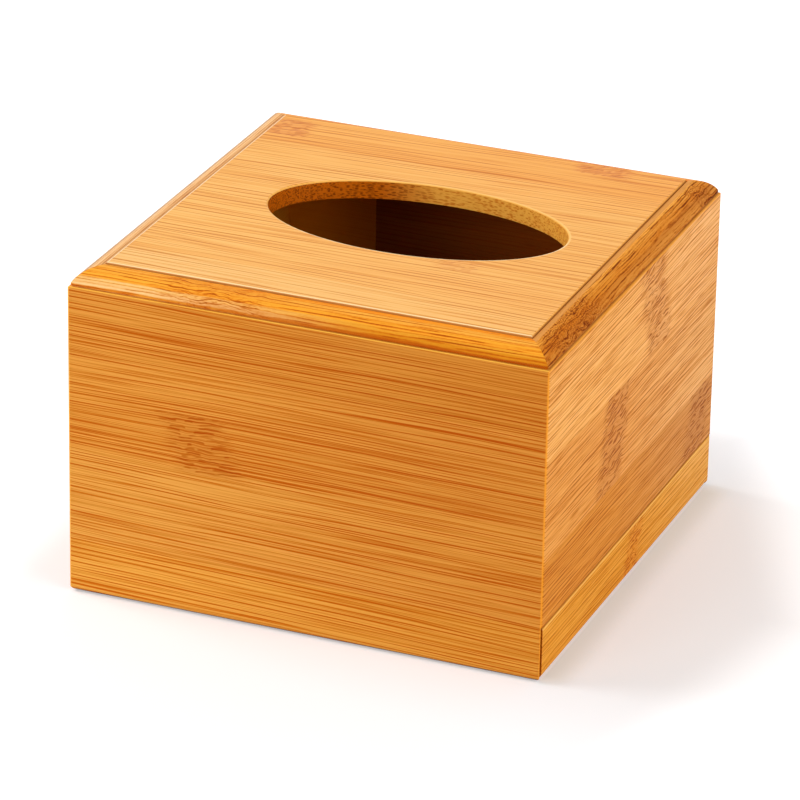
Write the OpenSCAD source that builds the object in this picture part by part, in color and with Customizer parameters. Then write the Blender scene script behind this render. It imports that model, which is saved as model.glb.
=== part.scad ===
// Square tissue box cover made of lacquered bamboo boards.
// Four mitred walls carry a mitred rim and a raised top board with an oval hole.
// The base board slides out to the right in grooves, with the rail that closes its end.
// The origin is on the rest plane, under the middle of the box. Right is +X, back is +Y, up is +Z.

/* [Box] */
// Width of the box from left to right
box_w = 115; // [106:1:160]
// Depth of the box from front to back
box_d = 115; // [100:1:160]
// Height of the box to the top board's face
box_h = 80; // [60:1:130]
// Thickness of the wall boards
wall_t = 9; // [8:0.25:12]
// Rounding of the upright outer corners
corner_round = 0.8; // [0.4:0.1:2]
// Rounding of the walls' upper outer edge
wall_top_round = 0.5; // [0.2:0.1:1.2]
// Rounding of the walls' and the rail's lower outer edges
foot_round = 2; // [0.5:0.1:3]

/* [Rim] */
// Distance from the walls' outer faces in to the rim's inner side
rim_w = 6.5; // [6:0.1:7.5]
// Height of the rim strips beside the top board
rim_h = 4.1; // [3:0.1:4.5]
// Distance from the walls' outer faces in to the rim
rim_setback = 0.5; // [0.2:0.1:1]
// Height of the upright edge under the rim's long rounding
rim_edge = 0.5; // [0.4:0.1:1]
// Height of the shadow groove between the rim and the walls
seam_h = 0.3; // [0.1:0.05:0.35]
// Depth of that groove, from the rim's outer edge
seam_depth = 0.5; // [0.2:0.1:1]

/* [Top board] */
// Height of the top board's face above the rim strips
board_rise = 0.5; // [0.3:0.1:2]
// Rounding of the top board's upper edges
board_round = 0.3; // [0.1:0.1:0.8]
// Gap between the top board and the rim strips around it
board_gap = 0.2; // [0.1:0.05:0.4]
// Length of the oval hole from left to right
hole_l = 72; // [50:1:76]
// Width of the oval hole from front to back
hole_w = 42; // [30:1:60]
// Distance of the hole's middle to the right of the box's middle
hole_shift = 3; // [0:0.5:5]
// Distance of the hole's middle behind the box's middle
hole_back = 1.5; // [0:0.5:4]
// Width of the bevel around the hole's upper edge
hole_bevel = 0.25; // [0.1:0.05:0.6]

/* [Sliding base] */
// Thickness of the base board
base_t = 5; // [4:0.25:7]
// Depth of the grooves that hold the base board
groove_depth = 4; // [3:0.25:5]
// Height of the grooves' lower side above the rest plane
groove_z = 4; // [3:0.25:6]
// Height of the rail above the base board
rail_over = 3.8; // [2:0.1:6]
// Rounding of the rail's upper outer edge
rail_top_round = 0.4; // [0.2:0.1:1]
// Gap between the rail's upper edge and the right wall
rail_gap = 0.4; // [0.3:0.05:0.8]
// Gap between each mitred end of the rail and the wall beside it
rail_end_gap = 0.6; // [0.3:0.05:0.9]
// Clearance around whatever slides
slide_gap = 0.3; // [0.2:0.05:0.5]

/* [Hidden] */
$fn = 96;

// Quarter turns that carry the front side to each of the other sides
front_side = 0;
right_side = 1;
back_side = 2;
left_side = 3;

// Colours of the lacquered bamboo, as the boards show them
wall_colour = [0.80, 0.50, 0.21];
rim_colour = [0.83, 0.53, 0.24];
board_colour = [0.91, 0.68, 0.42];
base_colour = [0.86, 0.59, 0.27];

// How far a cutting solid runs past the face that it cuts
overrun = 1;
// Heights of the levels at which the pieces meet
rim_z = box_h - board_rise - rim_h;
board_t = rim_h + board_rise;
// Width of a rim strip, and the radius that makes its rounding level beside the top board
rim_run = rim_w - rim_setback;
rim_rise = rim_h - rim_edge;
rim_curve = (rim_run * rim_run + rim_rise * rim_rise) / (2 * rim_rise);
// Distance from the walls' outer faces in to the top board
board_inset = rim_w + board_gap;
// Heights of the groove and of what slides in it
groove_h = base_t + 2 * slide_gap;
base_z = groove_z + slide_gap;
rail_top = base_z + base_t + rail_over;
// How far a gap across a mitre shortens each end of a strip
rail_end_cut = rail_end_gap * sqrt(2);
// Place and reach of the base board
base_left = slide_gap + wall_t - groove_depth - box_w / 2;
base_right = box_w / 2 - wall_t + groove_depth;
base_half_d = box_d / 2 - wall_t + groove_depth - slide_gap;

// Length of the side that a number of quarter turns leads to
function side_length(turns) = turns % 2 == 0 ? box_w : box_d;
// Distance of that side's outer face from the middle of the box
function side_reach(turns) = turns % 2 == 0 ? box_d / 2 : box_w / 2;

// Puts a piece on one side of the box. The piece is drawn along X with its outer face at
// y = 0, and its thickness towards +Y.
module on_side(turns) {
    rotate([0, 0, 90 * turns])
        translate([0, -side_reach(turns), 0])
            children();
}

// Draws a profile in depth and height and runs it along X
module run_along(length) {
    rotate([90, 0, 90])
        linear_extrude(length, center = true)
            children();
}

// Quarter of a square that lies outside a circle, to take off a corner at the origin
module corner_cut(radius) {
    difference() {
        translate([-overrun, -overrun])
            square(radius + overrun);
        translate([radius, radius])
            circle(radius);
    }
}

// Profile of a board that stands upright, from one height to another, with both outer
// edges rounded
module upright_profile(low, high, low_round, high_round) {
    difference() {
        translate([0, low])
            square([wall_t, high - low]);
        translate([0, low])
            corner_cut(low_round);
        translate([0, high])
            mirror([0, 1])
                corner_cut(high_round);
    }
}

// Outline seen from above of a strip that is mitred at both ends, with its sharp outer
// corners rounded where the upright edges of the box are
module mitred_outline(length, depth, end_cut, end_round) {
    half = length / 2;
    difference() {
        polygon([
            [-half + end_cut, 0],
            [half - end_cut, 0],
            [half - end_cut - depth, depth],
            [-half + end_cut + depth, depth]
        ]);
        for (side = [0, 1])
            mirror([side, 0])
                translate([-half, 0])
                    corner_cut(end_round);
    }
}

// Strip with the profile that is given as its child, mitred at both ends
module mitred_strip(length, depth, end_cut, end_round) {
    intersection() {
        run_along(length)
            children();
        linear_extrude(box_h)
            mitred_outline(length, depth, end_cut, end_round);
    }
}

// Wall board that stands on the rest plane, with a groove for the base board
module grooved_wall(turns) {
    mitred_strip(side_length(turns), wall_t, 0, corner_round)
        difference() {
            upright_profile(0, rim_z, foot_round, wall_top_round);
            translate([wall_t - groove_depth, groove_z])
                square([groove_depth + overrun, groove_h]);
        }
}

// Wall board over the opening that the base slides through
module short_wall(turns) {
    mitred_strip(side_length(turns), wall_t, 0, corner_round)
        upright_profile(rail_top + rail_gap, rim_z, 0, wall_top_round);
}

// Profile of a rim strip: one long rounding that is level beside the top board, over a low
// upright edge and the shadow groove at its foot
module rim_profile() {
    difference() {
        intersection() {
            square([rim_run, rim_h + overrun]);
            translate([rim_run, rim_h - rim_curve])
                circle(rim_curve);
        }
        translate([-overrun, -overrun])
            square([seam_depth + overrun, seam_h + overrun]);
    }
}

// Rim strip that lies on a wall's upper edge
module rim_strip(turns) {
    translate([0, rim_setback, rim_z])
        mitred_strip(side_length(turns) - 2 * rim_setback, rim_run, 0, corner_round)
            rim_profile();
}

// Plate with its lower face at z = 0 and its upper edges rounded
module eased_plate(width, depth, thickness, edge_round) {
    module section(length) {
        difference() {
            translate([-length / 2, 0])
                square([length, thickness]);
            for (side = [0, 1])
                mirror([side, 0])
                    translate([-length / 2, thickness])
                        mirror([0, 1])
                            corner_cut(edge_round);
        }
    }
    intersection() {
        run_along(width)
            section(depth);
        rotate([0, 0, 90])
            run_along(depth)
                section(width);
    }
}

// Oval column that cuts the hole, with its bevel at the height of the board's face
module oval_cutter(thickness) {
    scale([hole_l / hole_w, 1, 1]) {
        translate([0, 0, -overrun])
            cylinder(d = hole_w, h = thickness + 2 * overrun);
        translate([0, 0, thickness - hole_bevel])
            cylinder(d1 = hole_w, d2 = hole_w + 2 * (hole_bevel + overrun), h = hole_bevel + overrun);
    }
}

module front_wall() {
    color(wall_colour)
        on_side(front_side)
            grooved_wall(front_side);
}

module back_wall() {
    color(wall_colour)
        on_side(back_side)
            grooved_wall(back_side);
}

module left_wall() {
    color(wall_colour)
        on_side(left_side)
            grooved_wall(left_side);
}

module right_wall() {
    color(wall_colour)
        on_side(right_side)
            short_wall(right_side);
}

// Raised board inside the rim, which rests on the inner part of the walls' upper edges
module top_board() {
    color(board_colour)
        translate([0, 0, rim_z])
            difference() {
                eased_plate(box_w - 2 * board_inset, box_d - 2 * board_inset, board_t, board_round);
                translate([hole_shift, hole_back, 0])
                    oval_cutter(board_t);
            }
}

module rim_front() {
    color(rim_colour)
        on_side(front_side)
            rim_strip(front_side);
}

module rim_back() {
    color(rim_colour)
        on_side(back_side)
            rim_strip(back_side);
}

module rim_left() {
    color(rim_colour)
        on_side(left_side)
            rim_strip(left_side);
}

module rim_right() {
    color(rim_colour)
        on_side(right_side)
            rim_strip(right_side);
}

// Board that closes the box below and slides in the grooves of three walls
module base_board() {
    color(base_colour)
        translate([base_left, -base_half_d, base_z])
            cube([base_right - base_left, 2 * base_half_d, base_t]);
}

// Rail glued to the base board's right end, which fills the space under the right wall
module base_rail() {
    color(base_colour)
        on_side(right_side)
            mitred_strip(side_length(right_side), wall_t, rail_end_cut, corner_round)
                difference() {
                    upright_profile(slide_gap, rail_top, foot_round, rail_top_round);
                    translate([wall_t - groove_depth, base_z])
                        square([groove_depth + overrun, base_t]);
                }
}

front_wall();
back_wall();
left_wall();
right_wall();
top_board();
rim_front();
rim_back();
rim_left();
rim_right();
base_board();
base_rail();
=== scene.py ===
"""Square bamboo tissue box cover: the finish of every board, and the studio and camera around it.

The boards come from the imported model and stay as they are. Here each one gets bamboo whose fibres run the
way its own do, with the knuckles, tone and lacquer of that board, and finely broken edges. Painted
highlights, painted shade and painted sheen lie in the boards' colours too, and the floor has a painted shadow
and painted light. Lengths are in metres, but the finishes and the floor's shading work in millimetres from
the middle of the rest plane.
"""

import logging
import math
from abc import ABC, abstractmethod
from dataclasses import dataclass, field, replace
from enum import Enum
from functools import reduce
from operator import add
from typing import Any, Union

import bpy
from mathutils import Matrix, Vector

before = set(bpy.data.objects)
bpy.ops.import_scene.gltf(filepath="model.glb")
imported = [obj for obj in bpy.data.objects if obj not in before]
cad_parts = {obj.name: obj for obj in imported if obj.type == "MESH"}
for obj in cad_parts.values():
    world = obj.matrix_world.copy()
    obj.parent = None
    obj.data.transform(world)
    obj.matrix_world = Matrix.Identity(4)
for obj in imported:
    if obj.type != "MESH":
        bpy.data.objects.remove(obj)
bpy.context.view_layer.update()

LOG = logging.getLogger("tissue_box")
MM = 0.001
SRGB_TOP = 255.0
PHOTO_SIDE_PX = 800
SEED_STEP = 13.7
TONE_STOPS = (0.0, 0.3, 0.6, 1.0)

Number = Union["Value", float, int]
Axes = dict["Axis", "Value"]
Socket = bpy.types.NodeSocket
Colour = tuple[int, int, int]
Linear = tuple[float, float, float, float]
Tint = Union[Linear, Socket]
LaminationsAndShading = tuple[tuple[float, Colour, Colour], ...]
Span = tuple[float, float]

WHITE: Colour = (255, 255, 255)


def linear(rgb: Colour) -> Linear:
    """Turns an sRGB colour of 0 to 255 into the linear colour with alpha that a shader takes.

    Args:
        rgb: Red, green and blue, each from 0 to 255.

    Returns:
        Linear red, green and blue, and an alpha of 1.
    """
    parts = [c / SRGB_TOP for c in rgb]
    low_end, slope, offset, power = 0.04045, 12.92, 0.055, 2.4
    out = [p / slope if p <= low_end else ((p + offset) / (1 + offset)) ** power for p in parts]
    return (out[0], out[1], out[2], 1.0)


class Value:
    """A number that a shader node gives out, which Python's arithmetic can use."""

    def __init__(self, graph: "Graph", socket: Socket) -> None:
        """Wraps one output socket of a node in a graph."""
        self.graph = graph
        self.socket = socket

    def _with(self, operation: str, *others: Number) -> "Value":
        """Adds a Math node that works on this value and the others."""
        return self.graph.math(operation, self, *others)

    def __add__(self, other: Number) -> "Value":
        """This value plus another."""
        return self._with("ADD", other)

    def __radd__(self, other: Number) -> "Value":
        """Another value plus this one."""
        return self._with("ADD", other)

    def __sub__(self, other: Number) -> "Value":
        """This value less another."""
        return self._with("SUBTRACT", other)

    def __rsub__(self, other: Number) -> "Value":
        """Another value less this one."""
        return self.graph.math("SUBTRACT", other, self)

    def __mul__(self, other: Number) -> "Value":
        """This value times another."""
        return self._with("MULTIPLY", other)

    def __rmul__(self, other: Number) -> "Value":
        """Another value times this one."""
        return self._with("MULTIPLY", other)

    def __abs__(self) -> "Value":
        """This value without its sign."""
        return self._with("ABSOLUTE")

    def floor(self) -> "Value":
        """The whole number below this value."""
        return self._with("FLOOR")

    def smaller(self, other: Number) -> "Value":
        """The smaller of this value and another."""
        return self._with("MINIMUM", other)

    def larger(self, other: Number) -> "Value":
        """The larger of this value and another."""
        return self._with("MAXIMUM", other)

    def root(self) -> "Value":
        """The square root of this value."""
        return self._with("SQRT")

    def ease(self, low: float, high: float) -> "Value":
        """Rises smoothly from 0 to 1 as this value goes from low to high, or falls where low is above high.

        Args:
            low: The value at which the result is 0.
            high: The value at which the result is 1.

        Returns:
            The smoothed value.
        """
        start, end = (0.0, 1.0) if low < high else (1.0, 0.0)
        ends = {"From Min": min(low, high), "From Max": max(low, high), "To Min": start, "To Max": end}
        settings = {"interpolation_type": "SMOOTHSTEP"}
        return self.graph.node("ShaderNodeMapRange", settings, {"Value": self, **ends}).value("Result")


class Handle:
    """A node that has been added, from which outputs are taken by name."""

    def __init__(self, graph: "Graph", node: bpy.types.Node) -> None:
        """Holds a node and its graph."""
        self.graph = graph
        self.node = node

    def socket(self, name: str) -> Socket:
        """The enabled output socket of that name."""
        return next(s for s in self.node.outputs if s.name == name and s.enabled)

    def value(self, name: str) -> Value:
        """The output of that name as a number for arithmetic."""
        return Value(self.graph, self.socket(name))


class Axis(Enum):
    """An axis of the model's frame."""

    X = 0
    Y = 1
    Z = 2


class Graph:
    """Builds the node tree of one material or of the world."""

    def __init__(self, tree: bpy.types.NodeTree) -> None:
        """Empties a node tree and takes it over."""
        tree.nodes.clear()
        self.tree = tree

    def node(self, kind: str, settings: dict[str, Any], sockets: dict[Union[str, int], Any]) -> Handle:
        """Adds a node, sets it up, and fills its input sockets.

        Args:
            kind: Blender's name for the type of node.
            settings: Properties of the node, set first. The key "stops" holds a ramp's positions and colours.
            sockets: Values or links for input sockets, by name or by index.

        Returns:
            The node's handle.
        """
        made = self.tree.nodes.new(kind)
        for name, setting in settings.items():
            if name == "stops":
                self._set_stops(made.color_ramp, setting)
            else:
                setattr(made, name, setting)
        for key, content in sockets.items():
            target = made.inputs[key] if isinstance(key, int) else self._input(made, key)
            self._fill(target, content)
        return Handle(self, made)

    @staticmethod
    def _input(made: bpy.types.Node, name: str) -> Socket:
        """The enabled input socket of that name."""
        return next(s for s in made.inputs if s.name == name and s.enabled)

    def _fill(self, target: Socket, content: Any) -> None:
        """Links an input socket, or sets its constant.

        Args:
            target: The input socket.
            content: A value, an output socket, or a constant.
        """
        if isinstance(content, Value):
            self.tree.links.new(content.socket, target)
        elif isinstance(content, Socket):
            self.tree.links.new(content, target)
        else:
            target.default_value = content

    @staticmethod
    def _set_stops(ramp: bpy.types.ColorRamp, stops: list[tuple[float, Linear]]) -> None:
        """Replaces the stops of a ramp.

        Args:
            ramp: The node's ramp.
            stops: The new positions and colours, in order.
        """
        while len(ramp.elements) > 1:
            ramp.elements.remove(ramp.elements[-1])
        for index, (position, colour) in enumerate(stops):
            element = ramp.elements[0] if index == 0 else ramp.elements.new(position)
            element.position = position
            element.color = colour

    def math(self, operation: str, *terms: Number) -> Value:
        """Adds a Math node that works on the terms in order."""
        return self.node("ShaderNodeMath", {"operation": operation}, dict(enumerate(terms))).value("Value")

    def vector(self, x: Number, y: Number, z: Number) -> Socket:
        """Joins three numbers into a vector."""
        return self.node("ShaderNodeCombineXYZ", {}, {"X": x, "Y": y, "Z": z}).socket("Vector")

    def axes(self) -> Axes:
        """Finds the place on the object that is shaded.

        Returns:
            The place in mm, as one value for each axis.
        """
        place = self.node("ShaderNodeTexCoord", {}, {}).socket("Object")
        split = self.node("ShaderNodeSeparateXYZ", {}, {"Vector": place})
        return {axis: split.value(axis.name) * (1 / MM) for axis in Axis}

    def noise(self, place: Socket, detail: float = 1.0, roughness: float = 0.5) -> Value:
        """Smooth noise around 0 of about one feature to each unit of its vector, mostly from -0.2 to 0.2.

        Args:
            place: The vector at which the noise is read.
            detail: How many finer layers are added.
            roughness: How strong the finer layers are.

        Returns:
            The noise.
        """
        middle = 0.5
        sockets = {"Vector": place, "Scale": 1.0, "Detail": detail, "Roughness": roughness}
        return self.node("ShaderNodeTexNoise", {"noise_dimensions": "3D"}, sockets).value("Fac") - middle

    def cells(self, place: Socket) -> tuple[Value, Value]:
        """Scattered points, one to each unit cube of the vector.

        Args:
            place: The vector at which the points are looked for.

        Returns:
            The distance to the nearest point, and that point's own random number from 0 to 1.
        """
        settings = {"voronoi_dimensions": "3D", "feature": "F1"}
        made = self.node("ShaderNodeTexVoronoi", settings, {"Vector": place, "Scale": 1.0, "Randomness": 1.0})
        picked = self.node("ShaderNodeSeparateColor", {}, {"Color": made.socket("Color")}).value("Red")
        return made.value("Distance"), picked

    def mix(self, factor: Number, first: Tint, second: Tint, blend: str = "MIX") -> Socket:
        """Mixes two colours.

        Args:
            factor: How much of the second colour is used.
            first: The first colour.
            second: The second colour.
            blend: The blend mode.

        Returns:
            The mixed colour.
        """
        settings = {"data_type": "RGBA", "blend_type": blend}
        sockets = {"Factor": factor, "A": first, "B": second}
        return self.node("ShaderNodeMix", settings, sockets).socket("Result")


class Figure(Enum):
    """What the fibres do inside a knuckle."""

    STROKES = "short slanting strokes"
    WAVES = "tangled waves"


@dataclass(frozen=True)
class Palette:
    """The sRGB colours of one board's bamboo, from its darkest fibres to its palest ground.

    The last one is what the marks inside a knuckle are multiplied by.
    """

    line: Colour
    deep: Colour
    ground: Colour
    pale: Colour
    knuckle: Colour = (208, 180, 152)


@dataclass(frozen=True)
class FibreSpace:
    """A place in a board, in mm: along its fibres, across them, and through the board."""

    along: Value
    run: Value
    inner: Value
    seed: float

    @property
    def graph(self) -> Graph:
        """The graph of the board's material."""
        return self.along.graph


@dataclass(frozen=True)
class Cloud:
    """Smooth noise in a board, drawn out along its fibres.

    Along and across say how many of its features lie in a mm each way. The share is its weight in a sum.
    """

    along: float
    across: float
    share: float = 1.0
    detail: float = 1.0

    def read(self, at: FibreSpace, run_shift: float = 0.0, inner_shift: float = 0.0) -> Value:
        """The noise at a place times its share, shifted by so many features across or through the board."""
        run, inner = at.run * self.across + run_shift, at.inner * self.across + inner_shift
        return at.graph.noise(at.graph.vector(at.along * self.along, run, inner), self.detail) * self.share


@dataclass(frozen=True)
class Rows:
    """Long dark fibres side by side, in mm, at an even pitch that wanders a little.

    Each fibre comes and goes along its length. The patch is how softly it does, and the least is the share
    of its darkness that always stays.
    """

    pitch: float
    half_width: float
    length: float
    darkness: float
    wander: float = 1.4
    patch: float = 0.10
    least: float = 0.35

    def mask(self, at: FibreSpace) -> Value:
        """Draws the fibres.

        Args:
            at: The place in the board.

        Returns:
            How dark they are there, from 0 to their darkness.
        """
        warp_rate, row_step, inner_rate, middle, core = 0.3, 7.31, 0.8, 0.5, 0.2
        warp = Cloud(warp_rate / self.length, warp_rate, self.wander).read(at, inner_shift=at.seed)
        phase = at.run * (1 / self.pitch) + warp + at.seed
        index = phase.floor()
        inner = at.inner * inner_rate + at.seed
        own = at.graph.vector(at.along * (1 / self.length), index * row_step, inner)
        weight = at.graph.noise(own)
        off = abs(phase - index - middle - weight)
        half = self.half_width / self.pitch
        strong = weight.ease(-self.patch, self.patch) * (1 - self.least) + self.least
        return off.ease(half, half * core) * strong * self.darkness


@dataclass(frozen=True)
class Bundles:
    """Scattered dark bundles of the stem, in mm: thin lines on a face and dots on the end grain."""

    spacing: float
    radius: float
    length: float
    darkness: float

    def mask(self, at: FibreSpace) -> Value:
        """Draws the bundles.

        Args:
            at: The place in the board.

        Returns:
            How dark they are there, from 0 to their darkness.
        """
        soft, full_from = 0.5, 0.8
        per_mm = 1 / self.spacing
        along = at.along * (1 / self.length) + at.seed
        distance, picked = at.graph.cells(at.graph.vector(along, at.run * per_mm, at.inner * per_mm))
        reach = self.radius * per_mm
        near = distance.ease(reach * (1 + soft), reach * (1 - soft))
        return near * picked.ease(0.0, full_from) * self.darkness


@dataclass(frozen=True)
class Knuckle:
    """The mark that a joint of the bamboo stem leaves across a board, placed on the board's face in mm.

    Along is measured with the fibres and across the other way over the face. The lean is how far the mark
    shifts along the fibres for each mm across.
    """

    along: float
    across: float
    half_across: float
    half_along: float = 4.0
    lean: float = 0.0
    strength: float = 1.0

    def mask(self, along: Value, across: Value, ragged: Value) -> Value:
        """Draws the mark's outline.

        Args:
            along: The place along the fibres.
            across: The place across them.
            ragged: How far the outline is pushed along the fibres there.

        Returns:
            How strongly the place lies in the mark, from 0 to its strength.
        """
        soft, fade_end, fade_start = 0.2, 1.3, 0.6
        rise = abs(across - self.across).ease(self.half_across + soft, self.half_across - soft)
        shift = abs(along - self.along - (across - self.across) * self.lean + ragged)
        return rise * shift.ease(self.half_along * fade_end, self.half_along * fade_start) * self.strength


Fibres = tuple[Union[Rows, Bundles], ...]


@dataclass(frozen=True)
class Grain:
    """How the fibres of one board lie.

    The slant turns all the fibres, and the fan turns them more the farther across they lie. The drift bends
    them, and the other clouds make them darker and paler: finely, in streaks, in bands and in specks.
    """

    along: Axis
    across: Axis
    seed: float
    slant: float = 0.0
    fan: float = 0.0
    contrast: float = 1.0
    drift: Cloud = Cloud(along=0.009, across=0.05, share=2.4)
    fine: Cloud = Cloud(along=0.022, across=1.25, share=0.9)
    streak: Cloud = Cloud(along=0.010, across=0.38, share=0.22)
    band: Cloud = Cloud(along=0.006, across=0.09, share=0.42)
    specks: Union[Cloud, None] = None
    families: Fibres = (
        Rows(pitch=1.16, half_width=0.22, length=50.0, darkness=0.74),
        Rows(pitch=0.69, half_width=0.15, length=30.0, darkness=0.54),
        Rows(pitch=0.43, half_width=0.12, length=18.0, darkness=0.24),
        Bundles(spacing=0.85, radius=0.18, length=46.0, darkness=0.30),
    )


@dataclass(frozen=True)
class LayersAndShading:
    """The laminations that lie side by side in a board, with painted shade and painted sheen in their tints
    besides their own tone. The change of tone from one end to the other is painted light.

    Each entry gives how far a layer reaches from the first edge, in mm, and the colours that tint the bamboo
    at its low and its high end. The side is 1 where the laminations count down the axis, and -1 where they
    count up it.
    """

    across: Axis
    outer: float
    reach: LaminationsAndShading
    side: int = 1
    turn: Span = (-50.0, 50.0)
    soft: float = 0.08
    wander: float = 0.0

    def tint(self, axes: Axes, along: Value) -> Socket:
        """Colours the laminations with their painted shade and sheen.

        Args:
            axes: The place in mm.
            along: The place along the fibres.

        Returns:
            The colour that multiplies the bamboo's own there.
        """
        along_rate, across_rate, detail, roughness = 0.06, 0.6, 3.0, 0.7
        place, graph = axes[self.across], along.graph
        spot = graph.vector(along * along_rate, place * across_rate, self.outer)
        wave = graph.noise(spot, detail, roughness) * self.wander
        depth = (self.outer - place * self.side + wave) * (1 / self.reach[-1][0])
        low, high = (self._end(depth, end) for end in (1, 2))
        return graph.mix(along.ease(*self.turn), low, high)

    def _end(self, depth: Value, end: int) -> Socket:
        """Colours the laminations, with their painted shade and sheen, as they are at one end.

        Args:
            depth: The place from the first edge, as a share of the whole.
            end: The place of that end's colour in an entry.

        Returns:
            The tint there.
        """
        whole = self.reach[-1][0]
        stops, start, soft = [], 0.0, self.soft / whole
        for entry in self.reach:
            edge, colour = entry[0] / whole, linear(entry[end])
            stops += [(start + soft, colour), (max(edge - soft, start + soft), colour)]
            start = edge
        return depth.graph.node("ShaderNodeValToRGB", {"stops": stops}, {"Fac": depth}).socket("Color")


@dataclass(frozen=True, kw_only=True)
class Trim(ABC):
    """A tone that lies over part of a board, and covers so much of it where the trim is full."""

    colour: Colour = WHITE
    cover: float = 0.85
    soft: float = 0.03

    def over(self, graph: Graph, colour: Tint, axes: Axes) -> Socket:
        """Lays the tone over the colour that the board has so far."""
        return graph.mix(self.share(axes) * self.cover, colour, self.tone(graph, axes))

    @abstractmethod
    def share(self, axes: Axes) -> Value:
        """How full the trim is at a place, from 0 to 1."""

    def tone(self, graph: Graph, axes: Axes) -> Tint:
        """The tone at a place, which is one colour unless the trim has its own way."""
        return linear(self.colour)


@dataclass(frozen=True, kw_only=True)
class UprightHighlight(Trim):
    """A painted highlight on the lacquer along the box's upright corners, a band of so many mm from each.

    The core is the share of the band in which the tone is full.
    """

    reach: float
    band: float = 0.55
    core: float = 0.4
    colour: Colour = (242, 154, 44)

    def share(self, axes: Axes) -> Value:
        """How full the tone is at a place, from 0 to 1."""
        corner = abs(axes[Axis.X]).smaller(abs(axes[Axis.Y]))
        return corner.ease(self.reach - self.band, self.reach - self.band * self.core)


@dataclass(frozen=True, kw_only=True)
class Stripe(Trim):
    """A straight line of another tone on a board, between two places on an axis in mm."""

    low: float
    high: float
    axis: Axis = Axis.Z

    def share(self, axes: Axes) -> Value:
        """How full the line is at a place, from 0 to 1."""
        above = axes[self.axis].ease(self.low - self.soft, self.low + self.soft)
        return above * axes[self.axis].ease(self.high + self.soft, self.high - self.soft)


@dataclass(frozen=True, kw_only=True)
class SideShade(Trim):
    """Painted shade on the side faces of a level board, whose corners are so many mm from the box's middle.
    """

    reach: float
    cover: float = 0.9

    def share(self, axes: Axes) -> Value:
        """How full the tone is at a place, from 0 to 1."""
        farther = abs(axes[Axis.X]).larger(abs(axes[Axis.Y]))
        return farther.ease(self.reach - self.soft, self.reach + self.soft)


@dataclass(frozen=True, kw_only=True)
class OvalHighlight(Trim):
    """A painted highlight along the face's edge round the oval hole, in mm, which fades at the hole's left
    end.
    """

    middle: Span = (3.0, 1.5)
    half_sides: Span = (36.3, 21.3)
    level: float = 79.9
    band: float = 0.3
    core: float = 0.3
    turn: Span = (-4.0, 4.0)
    near: Colour = (255, 226, 172)
    far: Colour = (255, 200, 110)
    cover: float = 0.9
    soft: float = 0.05

    def share(self, axes: Axes) -> Value:
        """Finds the edge.

        Args:
            axes: The place in mm.

        Returns:
            How full the edge is there, from 0 to 1.
        """
        fade_end = 0.5
        half_x, half_y = self.half_sides
        x = axes[Axis.X] - self.middle[0]
        across, deep = x * (1 / half_x), (axes[Axis.Y] - self.middle[1]) * (1 / half_y)
        beyond = (across * across + deep * deep).root() - 1
        line = beyond.ease(self.band / half_y, self.band * self.core / half_y)
        on_face = axes[Axis.Z].ease(self.level - self.soft, self.level)
        return line * on_face * x.ease(-half_x, -half_x * fade_end)

    def tone(self, graph: Graph, axes: Axes) -> Tint:
        """The tone at a place, which differs between the near and the far side of the hole."""
        deep = (axes[Axis.Y] - self.middle[1]).ease(*self.turn)
        return graph.mix(deep, linear(self.near), linear(self.far))


@dataclass(frozen=True, kw_only=True)
class InsideShade(Trim):
    """Painted shade on the unlacquered inner faces within a reach of the box's middle in mm, darker past a
    line across it.
    """

    reach: float = 48.7
    line: float = -26.0
    left: tuple[Colour, Colour] = ((242, 174, 24), (158, 101, 13))
    right: tuple[Colour, Colour] = ((82, 32, 8), (184, 99, 20))
    cover: float = 0.88
    soft: float = 0.15

    def share(self, axes: Axes) -> Value:
        """1 on the inner faces, and 0 on the others."""
        farther = abs(axes[Axis.X]).larger(abs(axes[Axis.Y]))
        return farther.ease(self.reach + self.soft, self.reach - self.soft)

    def tone(self, graph: Graph, axes: Axes) -> Tint:
        """Colours the inner faces with their painted shade.

        Args:
            graph: The material's graph.
            axes: The place in mm.

        Returns:
            The tone there.
        """
        x = axes[Axis.X]
        left = graph.mix(x.ease(-self.reach, self.line), *map(linear, self.left))
        right = graph.mix(x.ease(self.line, self.reach), *map(linear, self.right))
        return graph.mix(x.ease(self.line - self.soft, self.line + self.soft), left, right)


@dataclass(frozen=True)
class Cut:
    """The sawn face of a board below a level in mm, where fibres end as dots, with painted shade browner on
    the left.
    """

    level: float
    # The first colour of each pair holds the painted shade on the left.
    ground: tuple[Colour, Colour] = ((208, 104, 10), (255, 185, 74))
    dot: tuple[Colour, Colour] = ((122, 52, 2), (224, 122, 32))
    turn: Span = (-15.0, 4.0)
    bundles: Bundles = Bundles(spacing=0.37, radius=0.20, length=1.4, darkness=0.9)

    def over(self, colour: Tint, axes: Axes, at: FibreSpace) -> Socket:
        """Lays the sawn face over a colour.

        Args:
            colour: What the board has so far.
            axes: The place in mm.
            at: The place among the board's fibres.

        Returns:
            The colour with the sawn face on it.
        """
        soft, graph = 0.04, at.graph
        turned = axes[Axis.X].ease(*self.turn)
        ground, dot = (graph.mix(turned, *map(linear, pair)) for pair in (self.ground, self.dot))
        dotted = graph.mix(self.bundles.mask(at), ground, dot)
        return graph.mix(axes[Axis.Z].ease(self.level + soft, self.level - soft), colour, dotted)


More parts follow.
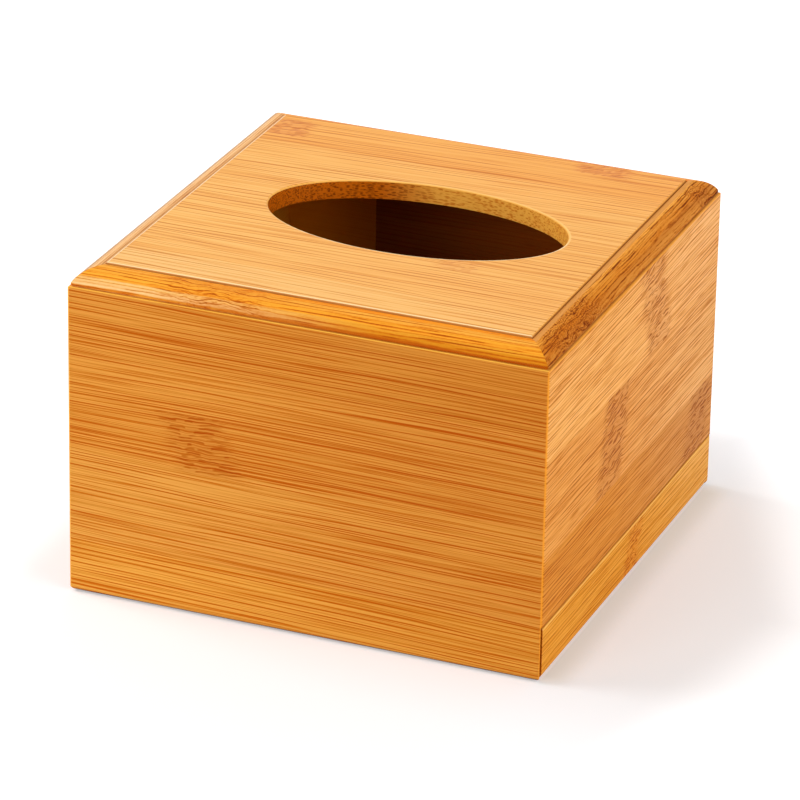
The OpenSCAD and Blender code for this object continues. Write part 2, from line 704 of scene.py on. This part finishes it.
@dataclass(frozen=True)
class BambooFinish:
    """Lacquered laminated bamboo for one board.

    In a knuckle the fibres are pushed aside by the tangle. Strokes there are as long as the fleck and slope
    by the tilt, and waves have the ripple as their rate along the fibres. The roughness is that of the
    darkest fibres, and the palest ground is smoother by the shine.
    """

    palette: Palette
    grain: Grain
    knuckles: tuple[Knuckle, ...] = ()
    figure: Figure = Figure.STROKES
    layers: Union[LayersAndShading, None] = None
    cut: Union[Cut, None] = None
    trims: tuple[Trim, ...] = ()
    fleck: float = 3.6
    ripple: float = 0.7
    tangle: float = 5.0
    tilt: float = 0.3
    roughness: float = 0.46
    shine: float = 0.10
    ior: float = 1.18
    bump: float = 0.3
    relief_depth: float = 0.05 * MM

    def material(self, name: str) -> bpy.types.Material:
        """Builds the board's material.

        Args:
            name: The material's name.

        Returns:
            The finished material.
        """
        made = bpy.data.materials.new(name)
        made.use_nodes = True
        graph = Graph(made.node_tree)
        colour, tone, relief = self._paint(graph)
        sockets = {"Strength": self.bump, "Distance": self.relief_depth, "Height": relief}
        bump = graph.node("ShaderNodeBump", {"invert": True}, sockets).socket("Normal")
        rough = tone * -self.shine + self.roughness
        sockets = {"Base Color": colour, "Roughness": rough, "IOR": self.ior, "Normal": bump}
        surface = graph.node("ShaderNodeBsdfPrincipled", {}, sockets).socket("BSDF")
        graph.node("ShaderNodeOutputMaterial", {}, {"Surface": surface})
        return made

    def _paint(self, graph: Graph) -> tuple[Socket, Value, Value]:
        """Adds the nodes of the bamboo's colour.

        Args:
            graph: The material's graph.

        Returns:
            The colour, the tone from dark to pale, and the relief of the fibres.
        """
        ground_share, mark_share = 0.4, 0.5
        axes = graph.axes()
        knuckle = self._knuckle_mask(axes)
        at = self._fibre_space(axes, knuckle)
        marks = self._marks(at) * knuckle if knuckle else None
        tone, relief = self._tone(at, knuckle, marks)
        tones = (self.palette.line, self.palette.deep, self.palette.ground, self.palette.pale)
        stops = list(zip(TONE_STOPS, map(linear, tones)))
        colour = graph.node("ShaderNodeValToRGB", {"stops": stops}, {"Fac": tone}).socket("Color")
        if knuckle:
            share = knuckle * ground_share + marks * mark_share
            colour = graph.mix(share, colour, linear(self.palette.knuckle), "MULTIPLY")
        # The layer tints hold painted shade and painted sheen besides the laminations' own tone.
        if self.layers:
            colour = graph.mix(1.0, colour, self.layers.tint(axes, at.along), "MULTIPLY")
        if self.cut:
            colour = self.cut.over(colour, axes, at)
        # Most trims are painted highlights and painted shade.
        for trim in self.trims:
            colour = trim.over(graph, colour, axes)
        return colour, tone, relief

    def _fibre_space(self, axes: Axes, knuckle: Union[Value, None]) -> FibreSpace:
        """Bends the board's straight axes into the way its fibres run, which is tangled in a knuckle.

        Args:
            axes: The place in mm.
            knuckle: The knuckle mask, if the board has knuckles.

        Returns:
            The place among the fibres.
        """
        grain, swirl = self.grain, Cloud(along=0.2, across=0.42)
        through = next(axis for axis in Axis if axis not in (grain.along, grain.across))
        along, across, depth = axes[grain.along], axes[grain.across], axes[through]
        straight = FibreSpace(along, across, depth, grain.seed * SEED_STEP)
        drift = grain.drift.read(straight, inner_shift=straight.seed)
        lean = along * grain.slant + along * across * grain.fan
        run = across - lean + drift
        if knuckle:
            run = run + swirl.read(straight, inner_shift=-straight.seed) * knuckle * self.tangle
        return replace(straight, run=run, inner=depth + drift)

    def _knuckle_mask(self, axes: Axes) -> Union[Value, None]:
        """Draws the outlines of the board's knuckles.

        Args:
            axes: The place in mm.

        Returns:
            How strongly the place lies in a knuckle, or nothing where the board has none.
        """
        if not self.knuckles:
            return None
        along_rate, across_rate, detail, roughness, push = 0.05, 0.45, 2.0, 0.7, 8.0
        along, across = axes[self.grain.along], axes[self.grain.across]
        spot = along.graph.vector(along * along_rate, across * across_rate, self.grain.seed)
        ragged = along.graph.noise(spot, detail, roughness) * push
        return reduce(Value.larger, [mark.mask(along, across, ragged) for mark in self.knuckles])

    def _marks(self, at: FibreSpace) -> Value:
        """Draws the short dark marks inside a knuckle.

        Args:
            at: The place in the board.

        Returns:
            How dark the marks are there, before the knuckle masks them.
        """
        if self.figure is Figure.WAVES:
            wave_rate, detail, half_line = 1.5, 2.0, 0.075
            return abs(Cloud(self.ripple, wave_rate, detail=detail).read(at)).ease(half_line, 0.0)
        tilted = replace(at, run=at.run - at.along * self.tilt)
        flecks = Rows(pitch=0.85, half_width=0.32, length=self.fleck, darkness=1.0, patch=0.05, least=0.0)
        return flecks.mask(tilted)

    def _tone(
        self, at: FibreSpace, knuckle: Union[Value, None], marks: Union[Value, None]
    ) -> tuple[Value, Value]:
        """Works out how pale the bamboo is, and its relief.

        Args:
            at: The place in the board.
            knuckle: The knuckle mask, if the board has knuckles.
            marks: The marks inside the knuckles, if it has any.

        Returns:
            The tone, from 0 in the darkest fibre to 1 in the palest ground, and the relief.
        """
        ground, calm, mark_darkness = 0.98, 0.35, 0.6
        grain = self.grain
        fibres = reduce(add, [family.mask(at) for family in grain.families])
        fine = grain.fine.read(at, inner_shift=at.seed)
        streak = grain.streak.read(at, inner_shift=-at.seed)
        band = grain.band.read(at, run_shift=at.seed)
        dark = fibres + fine + streak + band
        if grain.specks:
            dark = dark + grain.specks.read(at)
        if knuckle:
            dark = dark * (1 - knuckle * calm) + marks * mark_darkness
            fibres = fibres + marks
        return ground - dark * grain.contrast, fibres


@dataclass
class BoardWork:
    """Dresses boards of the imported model: a broken arris on every edge and a bamboo finish."""

    arris: float = 0.12 * MM
    arris_steps: int = 2
    weld: float = 0.001 * MM
    edge_angle: float = math.radians(32)

    def dress(self, node: str, finish: BambooFinish) -> bpy.types.Object:
        """Gives one board its edges and its finish.

        Args:
            node: The board's name.
            finish: Its finish.

        Returns:
            The board's object.
        """
        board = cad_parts[node]
        material = finish.material("bamboo_" + node)
        for slot in board.material_slots:
            slot.material = material
        weld = board.modifiers.new("joined_faces", "WELD")
        weld.merge_threshold = self.weld
        arris = board.modifiers.new("broken_arris", "BEVEL")
        arris.width = self.arris
        arris.segments = self.arris_steps
        arris.limit_method = "ANGLE"
        arris.angle_limit = self.edge_angle
        arris.harden_normals = False
        even = board.modifiers.new("even_shading", "WEIGHTED_NORMAL")
        even.keep_sharp = False
        for face in board.data.polygons:
            face.use_smooth = True
        return board


@dataclass
class Walls:
    """The four mitred wall boards."""

    work: BoardWork
    outer: float = 57.5
    top: float = 75.4
    palette: Palette = Palette(
        line=(201, 96, 8),
        deep=(212, 119, 24),
        ground=(222, 145, 50),
        pale=(241, 172, 76),
        knuckle=(222, 186, 128),
    )
    # Paler than the front and back walls' palette: partly the boards' own tone, partly painted sheen and
    # light.
    side_palette: Palette = Palette(
        line=(192, 110, 38), deep=(219, 138, 60), ground=(239, 166, 89), pale=(255, 190, 122)
    )
    # Tints by height; the left end paler than the right is painted light.
    layers: LaminationsAndShading = (
        (15.8, (244, 231, 221), (226, 204, 177)),
        (38.9, (246, 234, 226), (233, 215, 202)),
        (62.0, (250, 246, 253), (236, 222, 212)),
        (75.4, (255, 254, 248), (241, 233, 215)),
    )
    # Tints by height; the paler far end is painted sheen, and the darker band at the foot is painted shade.
    side_layers_and_shading: LaminationsAndShading = (
        (22.9, (254, 252, 226), (253, 255, 255)),
        (45.9, (240, 223, 174), (248, 249, 244)),
        (75.4, (231, 206, 130), (226, 211, 180)),
    )
    side_fibres: Fibres = (
        Rows(pitch=1.16, half_width=0.24, length=17.0, darkness=0.62),
        Rows(pitch=0.76, half_width=0.17, length=12.0, darkness=0.62),
        Rows(pitch=0.45, half_width=0.13, length=10.0, darkness=0.42),
        Bundles(spacing=0.8, radius=0.2, length=12.0, darkness=0.36),
    )

    def build(self) -> list[bpy.types.Object]:
        """Dresses the walls.

        Returns:
            Their objects.
        """
        front, right = self._front(), self._right()
        back_mark = Knuckle(along=18.0, across=48.0, half_across=11.5, half_along=5.0)
        left_mark = Knuckle(along=20.0, across=41.0, half_across=11.5, half_along=5.0)
        dressed = {
            "front_wall": front,
            "back_wall": replace(front, grain=replace(front.grain, seed=2.0), knuckles=(back_mark,)),
            "right_wall": right,
            "left_wall": replace(right, grain=replace(right.grain, seed=4.0), knuckles=(left_mark,)),
        }
        return [self.work.dress(node, finish) for node, finish in dressed.items()]

    def _front(self) -> BambooFinish:
        """Describes the front wall's finish, which the back wall shares.

        Returns:
            The finish, with painted highlights at the left and upper edges and a painted contact shadow at
            the foot.
        """
        return BambooFinish(
            self.palette,
            Grain(Axis.X, Axis.Z, 1.0, slant=-0.026, fan=0.00028, contrast=1.15),
            (Knuckle(along=-25.0, across=42.4, half_across=7.0, half_along=8.0, lean=-0.4, strength=0.65),),
            layers=LayersAndShading(Axis.Z, self.top, self.layers),
            # Painted highlights on the upright corner and at the left and upper edges, a painted contact
            # shadow at the foot, and painted shade inside.
            trims=(
                UprightHighlight(reach=self.outer),
                Stripe(low=-58.0, high=-57.0, colour=(255, 192, 84), axis=Axis.X),
                Stripe(low=self.top - 0.1, high=self.top + 1, colour=(255, 196, 76)),
                Stripe(low=-1.0, high=0.72, colour=(92, 46, 16)),
                InsideShade(),
            ),
            fleck=3.8,
            tilt=0.06,
            tangle=1.6,
            ior=1.12,
        )

    def _right(self) -> BambooFinish:
        """Describes the right wall's finish, which the left wall shares.

        Returns:
            The finish, with a painted highlight at the upper edge and painted shade at the seam over the
            rail.
        """
        return BambooFinish(
            self.side_palette,
            Grain(Axis.Y, Axis.Z, 3.0, slant=-0.002, fan=0.0002, contrast=1.05, families=self.side_fibres),
            (
                Knuckle(along=13.0, across=64.0, half_across=11.5, half_along=8.0, lean=-0.33, strength=0.9),
                Knuckle(along=-13.5, across=41.0, half_across=11.5, half_along=8.0, lean=0.23),
                Knuckle(along=46.0, across=20.7, half_across=8.8, half_along=7.5, lean=0.38, strength=0.9),
            ),
            layers=LayersAndShading(Axis.Z, self.top, self.side_layers_and_shading, turn=(-25.0, 57.0)),
            # Painted highlights on the upright corner and the upper edge, painted shade in the seam over the
            # rail, and painted shade inside.
            trims=(
                UprightHighlight(reach=self.outer),
                Stripe(low=self.top - 0.3, high=self.top + 1, colour=(255, 167, 62)),
                Stripe(low=13.3, high=13.75, colour=(160, 90, 20)),
                InsideShade(),
            ),
            fleck=4.2,
            tilt=0.1,
            tangle=2.0,
            ior=1.07,
        )


@dataclass
class Rim:
    """The four mitred strips round the top board."""

    work: BoardWork
    outer: float = 57.5
    palette: Palette = Palette(
        line=(190, 106, 34),
        deep=(226, 144, 66),
        ground=(246, 180, 104),
        pale=(255, 204, 138),
        knuckle=(228, 186, 140),
    )
    brown: Palette = Palette(
        line=(138, 63, 5), deep=(196, 110, 27), ground=(234, 149, 48), pale=(252, 178, 76)
    )
    tan: Palette = Palette(
        line=(204, 126, 60), deep=(224, 156, 86), ground=(240, 177, 108), pale=(254, 200, 134)
    )
    # Tints across the front strip from its outer edge: partly laminations, partly painted shading of its
    # curve; the darker right end is painted shade.
    layers: LaminationsAndShading = (
        (0.75, (235, 195, 104), (188, 114, 14)),
        (1.4, (250, 254, 255), (218, 172, 56)),
        (2.1, (250, 250, 228), (232, 196, 84)),
        (3.5, (250, 216, 104), (246, 208, 92)),
        (5.2, (252, 220, 118), (250, 220, 126)),
        (7.0, (255, 226, 130), (252, 198, 72)),
    )
    # Tints across the right strip: partly laminations, partly painted shading.
    brown_layers_and_shading: LaminationsAndShading = (
        (0.7, (220, 200, 180), (224, 204, 200)),
        (1.4, (228, 208, 184), (226, 208, 200)),
        (2.3, (226, 198, 160), (216, 190, 172)),
        (3.5, (234, 206, 152), (234, 210, 178)),
        (4.4, (242, 228, 196), (238, 222, 200)),
        (5.3, (252, 244, 220), (254, 250, 240)),
        (6.3, (254, 248, 250), (255, 252, 250)),
        (7.0, (255, 236, 214), (255, 236, 214)),
    )
    # Tints across the left strip; the darker outer half is painted shade where the strip curves away.
    tan_layers_and_shading: LaminationsAndShading = (
        (3.5, (209, 206, 208), (209, 206, 208)),
        (5.0, WHITE, WHITE),
        (5.7, (243, 232, 212), (243, 232, 212)),
        (7.0, (228, 209, 174), (228, 209, 174)),
    )
    fibres: Fibres = (
        Rows(pitch=0.95, half_width=0.18, length=20.0, darkness=0.60),
        Rows(pitch=0.56, half_width=0.13, length=14.0, darkness=0.50),
        Bundles(spacing=0.6, radius=0.18, length=9.0, darkness=0.40),
    )
    brown_fibres: Fibres = (
        Rows(pitch=1.7, half_width=0.5, length=10.0, darkness=0.3, patch=0.04, least=0.0),
        Rows(pitch=0.8, half_width=0.18, length=8.0, darkness=0.6),
        Rows(pitch=0.5, half_width=0.14, length=6.0, darkness=0.5),
    )
    specks: Cloud = Cloud(along=1.1, across=2.4, share=0.35)
    brown_specks: Cloud = Cloud(along=1.1, across=2.4, share=0.5)

    def build(self) -> list[bpy.types.Object]:
        """Dresses the strips.

        Returns:
            Their objects.
        """
        front = BambooFinish(
            self.palette,
            Grain(Axis.X, Axis.Y, 5.0, contrast=1.15, families=self.fibres, specks=self.specks),
            (Knuckle(along=-22.0, across=-54.0, half_across=4.0, half_along=13.0, strength=0.4),),
            Figure.WAVES,
            LayersAndShading(Axis.Y, self.outer, self.layers, side=-1, turn=(-50.0, 20.0), wander=0.6),
            ripple=0.3,
            ior=1.12,
        )
        side_grain = replace(front.grain, along=Axis.Y, across=Axis.X)
        brown_grain = replace(side_grain, seed=6.0, specks=self.brown_specks, families=self.brown_fibres)
        right = replace(
            front,
            palette=self.brown,
            grain=brown_grain,
            knuckles=(
                Knuckle(along=-36.0, across=54.0, half_across=5.0, half_along=15.0, strength=0.6),
                Knuckle(along=48.0, across=54.0, half_across=5.0, half_along=4.0, strength=0.6),
            ),
            layers=LayersAndShading(Axis.X, self.outer, self.brown_layers_and_shading, wander=1.0),
            trims=(
                # The first line is painted shade in the seam over the wall.
                Stripe(low=75.2, high=75.88, colour=(136, 70, 14)),
                Stripe(low=50.9, high=52.2, colour=(232, 158, 76), axis=Axis.X),
            ),
            ripple=1.0,
            tangle=3.0,
            ior=1.08,
        )
        back_layers_and_shading = replace(front.layers, side=1)
        back = replace(front, grain=replace(front.grain, seed=7.0), knuckles=(), layers=back_layers_and_shading)
        left = replace(
            front,
            palette=self.tan,
            grain=replace(side_grain, seed=8.0),
            knuckles=(),
            layers=LayersAndShading(Axis.X, self.outer, self.tan_layers_and_shading, side=-1),
        )
        dressed = {"rim_front": front, "rim_right": right, "rim_back": back, "rim_left": left}
        return [self.work.dress(node, finish) for node, finish in dressed.items()]


@dataclass
class TopBoard:
    """The raised board with the oval hole."""

    work: BoardWork
    outer: float = 50.8
    palette: Palette = Palette(
        line=(219, 139, 50),
        deep=(233, 157, 64),
        ground=(245, 177, 86),
        pale=(253, 194, 108),
        knuckle=(234, 200, 160),
    )
    # Tints from the back edge; the paler front and left are painted sheen.
    layers: LaminationsAndShading = (
        (16.8, (251, 229, 160), (251, 224, 150)),
        (26.8, (255, 244, 206), (255, 238, 192)),
        (75.8, (255, 246, 214), (253, 240, 202)),
        (90.8, (255, 247, 220), (253, 238, 200)),
        (101.6, WHITE, (255, 247, 225)),
    )
    fine: Cloud = Cloud(along=0.022, across=0.8, share=0.9)
    fibres: Fibres = (
        Rows(pitch=2.0, half_width=0.36, length=46.0, darkness=0.70),
        Rows(pitch=1.15, half_width=0.26, length=28.0, darkness=0.66),
        Bundles(spacing=0.72, radius=0.2, length=30.0, darkness=0.25),
    )

    def build(self) -> list[bpy.types.Object]:
        """Dresses the board, with painted highlights at its left and near edges and at the hole's upper
        arris.

        Returns:
            Its object, in a list.
        """
        grain = Grain(Axis.X, Axis.Y, 9.0, slant=0.012, fan=0.00063, contrast=1.15, fine=self.fine)
        grain = replace(grain, families=self.fibres)
        finish = BambooFinish(
            self.palette,
            grain,
            (
                Knuckle(along=-46.0, across=43.0, half_across=5.0, half_along=5.0),
                Knuckle(along=32.0, across=48.0, half_across=3.5, half_along=6.5),
                Knuckle(along=22.0, across=-20.5, half_across=3.0, half_along=5.0, strength=0.6),
            ),
            layers=LayersAndShading(Axis.Y, self.outer, self.layers, soft=0.4),
            # Painted highlights along the top arris, round the hole and at the left and near edges, and
            # painted shade on the side faces.
            cut=Cut(level=79.7),
            trims=(
                Stripe(low=79.7, high=79.93, colour=(255, 186, 84)),
                OvalHighlight(),
                Stripe(low=-self.outer, high=-50.4, colour=(255, 226, 184), axis=Axis.X),
                Stripe(low=-self.outer, high=-50.45, colour=(255, 228, 170), axis=Axis.Y),
                SideShade(reach=50.75, colour=(200, 130, 58)),
            ),
            fleck=3.0,
            tangle=3.0,
        )
        return [self.work.dress("top_board", finish)]


@dataclass
class SlidingBase:
    """The base board and the rail that closes its end."""

    work: BoardWork
    rail_top: float = 13.1
    palette: Palette = Palette(
        line=(198, 112, 18),
        deep=(218, 138, 36),
        ground=(236, 161, 63),
        pale=(249, 182, 92),
        knuckle=(234, 196, 124),
    )
    fibres: Fibres = (
        Rows(pitch=1.1, half_width=0.22, length=16.0, darkness=0.70),
        Rows(pitch=0.66, half_width=0.15, length=11.0, darkness=0.60),
        Rows(pitch=0.42, half_width=0.12, length=8.0, darkness=0.42),
    )

    def build(self) -> list[bpy.types.Object]:
        """Dresses the two pieces, the rail with a painted highlight and painted shade at its upper edge.

        Returns:
            Their objects.
        """
        # Tints of the rail and the base board; the paler far end is painted sheen.
        tones = ((self.rail_top, (250, 239, 178), (253, 254, 255)),)
        rail = BambooFinish(
            self.palette,
            Grain(Axis.Y, Axis.Z, 10.0, families=self.fibres),
            (Knuckle(along=3.0, across=6.5, half_across=8.0, half_along=4.5, lean=0.3),),
            layers=LayersAndShading(Axis.Z, self.rail_top, tones, turn=(-10.0, 57.0)),
            # A painted highlight along the rail's upper edge, and painted shade on its top face in the seam
            # under the wall.
            trims=(
                Stripe(low=12.55, high=12.95, colour=(255, 192, 98)),
                Stripe(low=13.02, high=14.0, colour=(206, 132, 50)),
            ),
            fleck=3.0,
            tangle=2.4,
            tilt=0.1,
            ior=1.07,
        )
        board_mark = Knuckle(along=10.0, across=8.0, half_across=10.0, half_along=4.0)
        board = replace(rail, grain=Grain(Axis.Y, Axis.X, 11.0), knuckles=(board_mark,), trims=())
        return [self.work.dress("base_rail", rail), self.work.dress("base_board", board)]


@dataclass
class Lamp:
    """A square soft lamp that faces a point on the object."""

    name: str
    place: tuple[float, float, float]
    side: float
    watts: float
    aim: tuple[float, float, float] = (0.0, 0.0, 0.04)

    def build(self) -> None:
        """Adds the lamp."""
        data = bpy.data.lights.new(self.name, "AREA")
        data.size = self.side
        data.energy = self.watts
        lamp = bpy.data.objects.new(self.name, data)
        lamp.location = self.place
        lamp.rotation_euler = (Vector(self.aim) - Vector(self.place)).to_track_quat("-Z", "Y").to_euler()
        bpy.context.scene.collection.objects.link(lamp)


@dataclass
class Studio:
    """The pale floor, the world and the lamps.

    The shadow's sides and all the bands are in mm. Each side takes so much of x and of y, and a shift, and
    painted light lifts the floor to white where the largest of the four passes the lift band, which cuts the
    cast shadow short. A painted shadow darkens the floor beside the box's right side.
    """

    floor_side: float = 6.0
    floor_lit: Colour = (236, 234, 231)
    floor_seen: Colour = (219, 219, 221)
    # Painted shadow colour beside the box's right side.
    floor_painted_shadow: Colour = (188, 182, 166)
    floor_glow: float = 0.34
    # Painted light that whitens the floor past the cast shadow.
    floor_painted_light: float = 0.24
    lift_band: Span = (87.0, 108.0)
    shadow_sides: tuple[tuple[float, float, float], ...] = (
        (1.0, 0.44, 0.0),
        (0.0, 1.1, 0.0),
        (-1.3, 0.0, 0.0),
        (1.0, -0.2, -4.0),
    )
    painted_shadow_start: Span = (56.5, 57.5)
    painted_shadow_end: Span = (66.0, 58.0)
    painted_shadow_corners: Span = (60.0, 52.0)
    sky: float = 0.42
    lamps: list[Lamp] = field(
        default_factory=lambda: [
            Lamp("key_lamp", (-1.03, -0.10, 1.08), side=0.8, watts=11.1),
            Lamp("back_lamp", (-0.60, 1.50, 0.72), side=0.8, watts=2.0),
            Lamp("front_fill", (-0.55, -1.60, 0.50), side=1.0, watts=8.2),
            Lamp("right_fill", (1.4, -0.4, 0.55), side=1.0, watts=11.3),
        ]
    )

    def build(self) -> None:
        """Adds everything in the studio."""
        self._floor()
        self._world()
        for lamp in self.lamps:
            lamp.build()

    @staticmethod
    def _shown(graph: Graph) -> Value:
        """Tells what is seen from what only lights the object.

        Args:
            graph: The graph of the floor or of the world.

        Returns:
            1 for what the camera sees directly, in a reflection or through glass, and 0 for other light.
        """
        path = graph.node("ShaderNodeLightPath", {}, {})
        seen = path.value("Is Camera Ray").larger(path.value("Is Glossy Ray"))
        return seen.larger(path.value("Is Transmission Ray"))

    def _floor(self) -> None:
        """Adds the floor, a single face that is white where it is seen and keeps the shadow, with painted
        shadow and painted light.
        """
        half = self.floor_side / 2
        corners = [(x, y, 0.0) for x, y in ((-half, -half), (half, -half), (half, half), (-half, half))]
        mesh = bpy.data.meshes.new("floor")
        mesh.from_pydata(corners, [], [tuple(range(len(corners)))])
        mesh.materials.append(self._floor_paint())
        floor = bpy.data.objects.new("floor", mesh)
        bpy.context.scene.collection.objects.link(floor)

    def _floor_paint(self) -> bpy.types.Material:
        """Builds the floor's material, which glows a little where it is seen and has painted shadow and
        painted light.

        Returns:
            The finished material.
        """
        paint = bpy.data.materials.new("floor_paint")
        paint.use_nodes = True
        graph = Graph(paint.node_tree)
        shown = self._shown(graph)
        near, lift = self._painted_shadow_and_light(graph)
        # near is the share of painted shadow beside the box.
        seen = graph.mix(near, linear(self.floor_seen), linear(self.floor_painted_shadow))
        colour = graph.mix(shown, linear(self.floor_lit), seen)
        # The glow is even; the painted light whitens the floor past the cast shadow.
        light = shown * (lift + self.floor_glow)
        sockets = {
            "Base Color": colour,
            "Roughness": 1.0,
            "Specular IOR Level": 0.0,
            "Emission Color": graph.vector(light, light, light),
            "Emission Strength": 1.0,
        }
        surface = graph.node("ShaderNodeBsdfPrincipled", {}, sockets).socket("BSDF")
        graph.node("ShaderNodeOutputMaterial", {}, {"Surface": surface})
        return paint

    def _painted_shadow_and_light(self, graph: Graph) -> tuple[Value, Value]:
        """Finds where the floor has painted shadow and painted light.

        Args:
            graph: The floor's graph.

        Returns:
            The share of painted shadow beside the box's right side, and the painted light that lifts the
            floor to white past the cast shadow.
        """
        axes = graph.axes()
        x, y = axes[Axis.X], axes[Axis.Y]
        # The cast shadow's outline, past which painted light whitens the floor.
        away = reduce(Value.larger, [x * of_x + y * of_y + shift for of_x, of_y, shift in self.shadow_sides])
        # Painted shadow beside the box's right side.
        near = x.ease(*self.painted_shadow_end) * x.ease(*self.painted_shadow_start) * abs(y).ease(*self.painted_shadow_corners)
        return near, away.ease(*self.lift_band) * self.floor_painted_light

    def _world(self) -> None:
        """Adds an even sky, which is white where it is seen."""
        world = bpy.data.worlds.new("studio_sky")
        world.use_nodes = True
        bpy.context.scene.world = world
        graph = Graph(world.node_tree)
        strength = self._shown(graph) * (1.0 - self.sky) + self.sky
        sky = graph.node("ShaderNodeBackground", {}, {"Color": linear(WHITE), "Strength": strength})
        graph.node("ShaderNodeOutputWorld", {}, {"Surface": sky.socket("Background")})


@dataclass
class PhotoCamera:
    """The camera at the photograph's angle, found by fitting the box's outer edges to it."""

    azimuth: float = math.radians(21.564)
    elevation: float = math.radians(23.999)
    roll: float = math.radians(1.108)
    distance: float = 1.20785
    focal_px: float = 5213.65
    target: tuple[float, float, float] = (0.00023, 0.0, 0.03495)
    sensor_mm: float = 36.0
    clip: Span = (0.01, 20.0)

    def build(self) -> None:
        """Adds the camera and makes it the scene's."""
        flat = math.cos(self.elevation)
        x, y = math.sin(self.azimuth) * flat, -math.cos(self.azimuth) * flat
        back = Vector((x, y, math.sin(self.elevation)))
        right = (-back).cross(Vector((0, 0, 1))).normalized()
        up = right.cross(-back)
        turned_right = right * math.cos(self.roll) + up * math.sin(self.roll)
        turned_up = up * math.cos(self.roll) - right * math.sin(self.roll)
        place = Vector(self.target) + back * self.distance
        data = bpy.data.cameras.new("photo_camera")
        data.sensor_width = self.sensor_mm
        data.lens = self.focal_px / PHOTO_SIDE_PX * self.sensor_mm
        data.clip_start, data.clip_end = self.clip
        camera = bpy.data.objects.new("photo_camera", data)
        columns = Matrix((turned_right, turned_up, back)).transposed()
        camera.matrix_world = Matrix.Translation(place) @ columns.to_4x4()
        bpy.context.scene.collection.objects.link(camera)
        bpy.context.scene.camera = camera


def main() -> None:
    """Builds the camera, the studio and every board, in order."""
    logging.basicConfig(level=logging.INFO, format="%(name)s: %(message)s")
    bpy.context.scene.view_settings.view_transform = "Standard"
    PhotoCamera().build()
    Studio().build()
    work = BoardWork()
    for assembly in (Walls(work), Rim(work), TopBoard(work), SlidingBase(work)):
        for piece in assembly.build():
            LOG.info("%s: dressed %s", type(assembly).__name__, piece.name)


if __name__ == "__main__":
    main()
